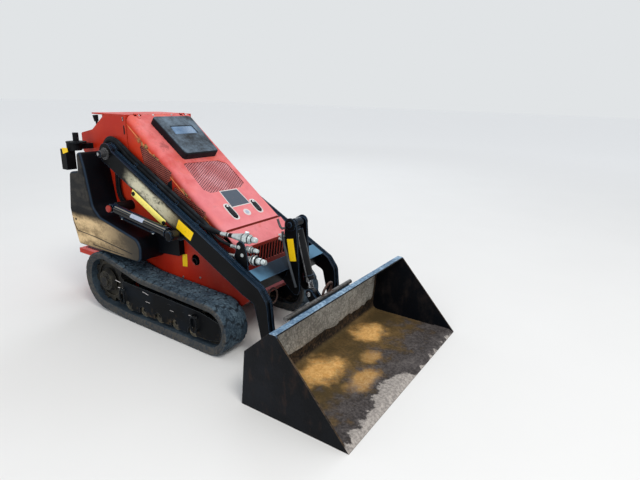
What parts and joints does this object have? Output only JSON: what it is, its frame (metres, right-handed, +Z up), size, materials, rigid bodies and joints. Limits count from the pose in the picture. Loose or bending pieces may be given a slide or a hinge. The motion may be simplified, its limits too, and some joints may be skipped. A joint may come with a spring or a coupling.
{
  "type": "stand-on mini skid steer loader on rubber tracks with bucket",
  "caption": "Compact tracked loader with a sloping hood, side tanks, lift arms, hydraulic cylinders, a tilt mast, a wide dirt bucket and a fold-up operator platform.",
  "frame": {"origin": "on the ground, at the centre of the whole machine's length and width, bucket on the ground", "axes": "+X forward to the bucket, +Y to the operator's left, +Z up"},
  "size_m": [2.439, 1.256, 1.205],
  "materials": {
    "red_paint": "faded orange-red",
    "red_mesh": "perforated sheet",
    "black_paint": "worn black paint",
    "worn_steel": "scraped steel",
    "chrome_rod": "polished",
    "black_plastic": "moulded",
    "rubber": "dusty",
    "zinc": "zinc plated",
    "yellow_paint": "worn yellow",
    "engine_metal": "cast"
  },
  "bodies": {
    "machine": {"side_plate_right": "red_paint", "side_plate_left": "red_paint", "chassis_tub": "red_paint", "console": "red_paint", "dash_pod": "black_plastic", "control_levers": "black_plastic", "grab_bar": "black_paint", "nose_panel": "red_paint", "front_grille": "red_paint", "engine_block": "engine_metal", "tank_right": "black_plastic", "tank_left": "black_plastic", "filter_canister": "black_plastic", "pivot_pins": "worn_steel", "track_belt_right": "rubber", "track_belt_left": "rubber", "track_frame_right": "black_paint", "track_frame_left": "black_paint", "track_rollers_right": "black_paint", "track_rollers_left": "black_paint", "track_idler_right": "black_paint", "track_idler_left": "black_paint", "track_sprocket_right": "black_paint", "track_sprocket_left": "black_paint"},
    "hood_body": {"hood": "red_paint", "hood_mesh": "red_mesh", "hood_cover": "black_plastic"},
    "platform_body": {"platform": "red_paint"},
    "lift_arms": {"lift_arm_right": "black_paint", "lift_arm_left": "black_paint", "arm_crossmember": "black_paint", "mast": "black_paint", "aux_couplers": "zinc", "hose_sleeve": "rubber", "hose_clips": "zinc", "lock_bar": "yellow_paint"},
    "lift_barrel_body_right": {"lift_barrel_right": "black_paint"},
    "lift_barrel_body_left": {"lift_barrel_left": "black_paint"},
    "lift_rod_body_right": {"lift_rod_right": "chrome_rod"},
    "lift_rod_body_left": {"lift_rod_left": "chrome_rod"},
    "tilt_barrel_body": {"tilt_barrel": "black_paint"},
    "tilt_rod_body": {"tilt_rod": "chrome_rod"},
    "bucket_body": {"attach_plate": "black_paint", "bucket": "black_paint", "cutting_edge": "worn_steel"}
  },
  "joints": [
    {"name": "arm_lift", "type": "hinge", "parent": "machine", "child": "lift_arms", "pos_m": [-0.6435, 0, 0.977], "axis": [0, -1, 0], "range_deg": [0, 70]},
    {"name": "bucket_tilt", "type": "hinge", "parent": "lift_arms", "child": "bucket_body", "pos_m": [0.5695, 0, 0.135], "axis": [0, 1, 0], "range_deg": [-15, 65]},
    {"name": "hood_open", "type": "hinge", "parent": "machine", "child": "hood_body", "pos_m": [-0.553, 0, 1.199], "axis": [0, -1, 0], "range_deg": [0, 50]},
    {"name": "platform_fold", "type": "hinge", "parent": "machine", "child": "platform_body", "pos_m": [-0.9345, 0, 0.259], "axis": [0, 1, 0], "range_deg": [0, 85]},
    {"name": "lift_barrel_swing_right", "type": "hinge", "parent": "machine", "child": "lift_barrel_body_right", "pos_m": [-0.5595, -0.372, 0.671], "axis": [0, -1, 0], "range_deg": [-0.5, 65.74]},
    {"name": "lift_rod_slide_right", "type": "slide", "parent": "lift_barrel_body_right", "child": "lift_rod_body_right", "axis": [0.99, 0, -0.1409], "range_m": [-0.0005, 0.36067]},
    {"name": "lift_barrel_swing_left", "type": "hinge", "parent": "machine", "child": "lift_barrel_body_left", "pos_m": [-0.5595, 0.372, 0.671], "axis": [0, -1, 0], "range_deg": [-0.5, 65.74]},
    {"name": "lift_rod_slide_left", "type": "slide", "parent": "lift_barrel_body_left", "child": "lift_rod_body_left", "axis": [0.99, 0, -0.1409], "range_m": [-0.0005, 0.36067]},
    {"name": "tilt_barrel_swing", "type": "hinge", "parent": "lift_arms", "child": "tilt_barrel_body", "pos_m": [0.49693, 0, 0.68411], "axis": [0, -1, 0], "range_deg": [-2.67, 9.92]},
    {"name": "tilt_rod_slide", "type": "slide", "parent": "tilt_barrel_body", "child": "tilt_rod_body", "axis": [0.2834, 0, -0.959], "range_m": [-0.04168, 0.17729]}
  ],
  "couplings": [
    {"joint": "lift_barrel_swing_right", "follows": "arm_lift", "ratio": 0.93199},
    {"joint": "lift_rod_slide_right", "follows": "arm_lift", "m_per_rad": 0.2944},
    {"joint": "lift_barrel_swing_left", "follows": "arm_lift", "ratio": 0.93199},
    {"joint": "lift_rod_slide_left", "follows": "arm_lift", "m_per_rad": 0.2944},
    {"joint": "tilt_barrel_swing", "follows": "bucket_tilt", "ratio": 0.14486},
    {"joint": "tilt_rod_slide", "follows": "bucket_tilt", "m_per_rad": 0.1554}
  ]
}
